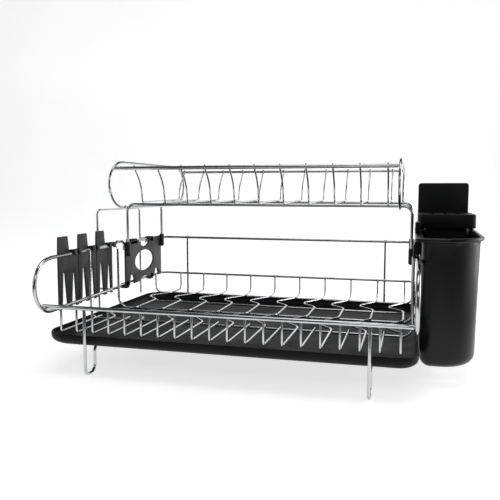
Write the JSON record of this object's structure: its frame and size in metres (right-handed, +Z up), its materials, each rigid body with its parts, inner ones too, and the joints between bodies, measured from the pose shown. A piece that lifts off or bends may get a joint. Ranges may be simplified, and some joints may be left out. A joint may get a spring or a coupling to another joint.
{
  "type": "dish drying rack",
  "caption": "Two-tier wire dish rack with a slide-out drip tray, lift-off upper shelf, clip-on cup holders, board arch and a hanging cutlery caddy.",
  "frame": {"origin": "centre of the whole rack's footprint, at the level that its wire feet stand on", "axes": "+X along the length towards the cutlery caddy, +Y to the back, +Z up"},
  "size_m": [0.554, 0.4364, 0.2822],
  "materials": {
    "chrome_wire": "bright plated wire",
    "bracket_plastic": "satin black moulding",
    "holder_plastic": "satin black moulding",
    "tray_plastic": "fine-grained black moulding",
    "caddy_gloss": "gloss black moulding",
    "insert_plastic": "satin black moulding"
  },
  "bodies": {
    "basket": {"front_rail": "chrome_wire", "side_loop_left": "chrome_wire", "side_loop_right": "chrome_wire", "rear_upper_wire": "chrome_wire", "rear_lower_wire": "chrome_wire", "short_rib_01": "chrome_wire", "short_rib_02": "chrome_wire", "short_rib_03": "chrome_wire", "short_rib_04": "chrome_wire", "short_rib_05": "chrome_wire", "short_rib_06": "chrome_wire", "short_rib_07": "chrome_wire", "short_rib_08": "chrome_wire", "short_rib_09": "chrome_wire", "short_rib_10": "chrome_wire", "long_rib_01": "chrome_wire", "long_rib_02": "chrome_wire", "long_rib_03": "chrome_wire", "long_rib_04": "chrome_wire", "long_rib_05": "chrome_wire", "long_rib_06": "chrome_wire", "long_rib_07": "chrome_wire", "long_rib_08": "chrome_wire", "long_rib_09": "chrome_wire", "long_rib_10": "chrome_wire", "floor_wire_1": "chrome_wire", "floor_wire_2": "chrome_wire", "floor_wire_3": "chrome_wire", "floor_wire_4": "chrome_wire", "leg_wire_left": "chrome_wire", "leg_wire_right": "chrome_wire", "board_arch": "chrome_wire", "bracket_left": "bracket_plastic", "bracket_right": "bracket_plastic"},
    "tray": {"drip_tray": "tray_plastic"},
    "shelf": {"shelf_rail_front": "chrome_wire", "shelf_rail_rear": "chrome_wire", "shelf_leg_front": "chrome_wire", "shelf_leg_rear": "chrome_wire", "shelf_end_left": "chrome_wire", "shelf_end_right": "chrome_wire", "shelf_rib_01": "chrome_wire", "shelf_rib_02": "chrome_wire", "shelf_rib_03": "chrome_wire", "shelf_rib_04": "chrome_wire", "shelf_rib_05": "chrome_wire", "shelf_rib_06": "chrome_wire", "shelf_rib_07": "chrome_wire", "shelf_rib_08": "chrome_wire", "shelf_rib_09": "chrome_wire", "shelf_rib_10": "chrome_wire", "shelf_rib_11": "chrome_wire"},
    "caddy": {"caddy_cup": "caddy_gloss"},
    "insert": {"caddy_insert": "insert_plastic"},
    "holder_1": {"cup_holder_1": "holder_plastic"},
    "holder_2": {"cup_holder_2": "holder_plastic"},
    "holder_3": {"cup_holder_3": "holder_plastic"}
  },
  "joints": [
    {"name": "tray_slide", "type": "slide", "parent": "basket", "child": "tray", "axis": [-1, 0, 0], "range_m": [0, 0.4]},
    {"name": "shelf_lift", "type": "slide", "parent": "basket", "child": "shelf", "axis": [0, 0, 1], "range_m": [0, 0.06]},
    {"name": "caddy_lift", "type": "slide", "parent": "basket", "child": "caddy", "axis": [0, 0, 1], "range_m": [0, 0.06]},
    {"name": "insert_lift", "type": "slide", "parent": "caddy", "child": "insert", "axis": [0, 0, 1], "range_m": [0, 0.1]},
    {"name": "holder_1_lift", "type": "slide", "parent": "basket", "child": "holder_1", "axis": [0, 0, 1], "range_m": [0, 0.03]},
    {"name": "holder_2_lift", "type": "slide", "parent": "basket", "child": "holder_2", "axis": [0, 0, 1], "range_m": [0, 0.03]},
    {"name": "holder_3_lift", "type": "slide", "parent": "basket", "child": "holder_3", "axis": [0, 0, 1], "range_m": [0, 0.03]}
  ]
}
